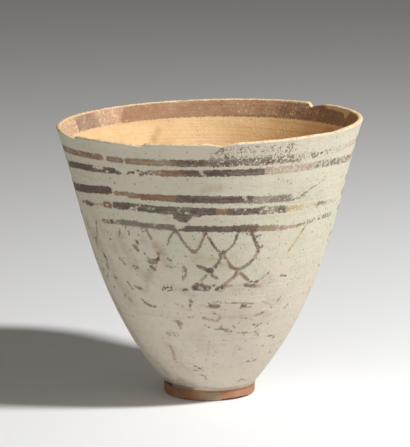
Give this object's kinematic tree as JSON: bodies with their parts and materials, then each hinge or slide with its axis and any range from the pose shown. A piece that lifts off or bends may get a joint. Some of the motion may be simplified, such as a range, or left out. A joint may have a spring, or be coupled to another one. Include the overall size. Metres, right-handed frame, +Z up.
{
  "type": "conical rhyton",
  "caption": "Footed conical rhyton of slipped terracotta: a flaring bowl on a pierced disc foot, with painted bands and a scale net.",
  "frame": {"origin": "centre of the foot's underside, on the surface that the vessel stands on", "axes": "+Z up the vessel's axis towards the mouth; -Y is the worn front with the scale net; +X is the side where the rim stands higher"},
  "size_m": [0.2, 0.2, 0.1845],
  "materials": {
    "slipped_clay": "matte pale slip with worn iron paint",
    "bare_clay": "matte bare fired clay",
    "smeared_clay": "matte smeared clay"
  },
  "bodies": {
    "root": {"thrown_bowl": "slipped_clay", "disc_foot": "bare_clay", "luting_coil": "smeared_clay"}
  },
  "joints": []
}
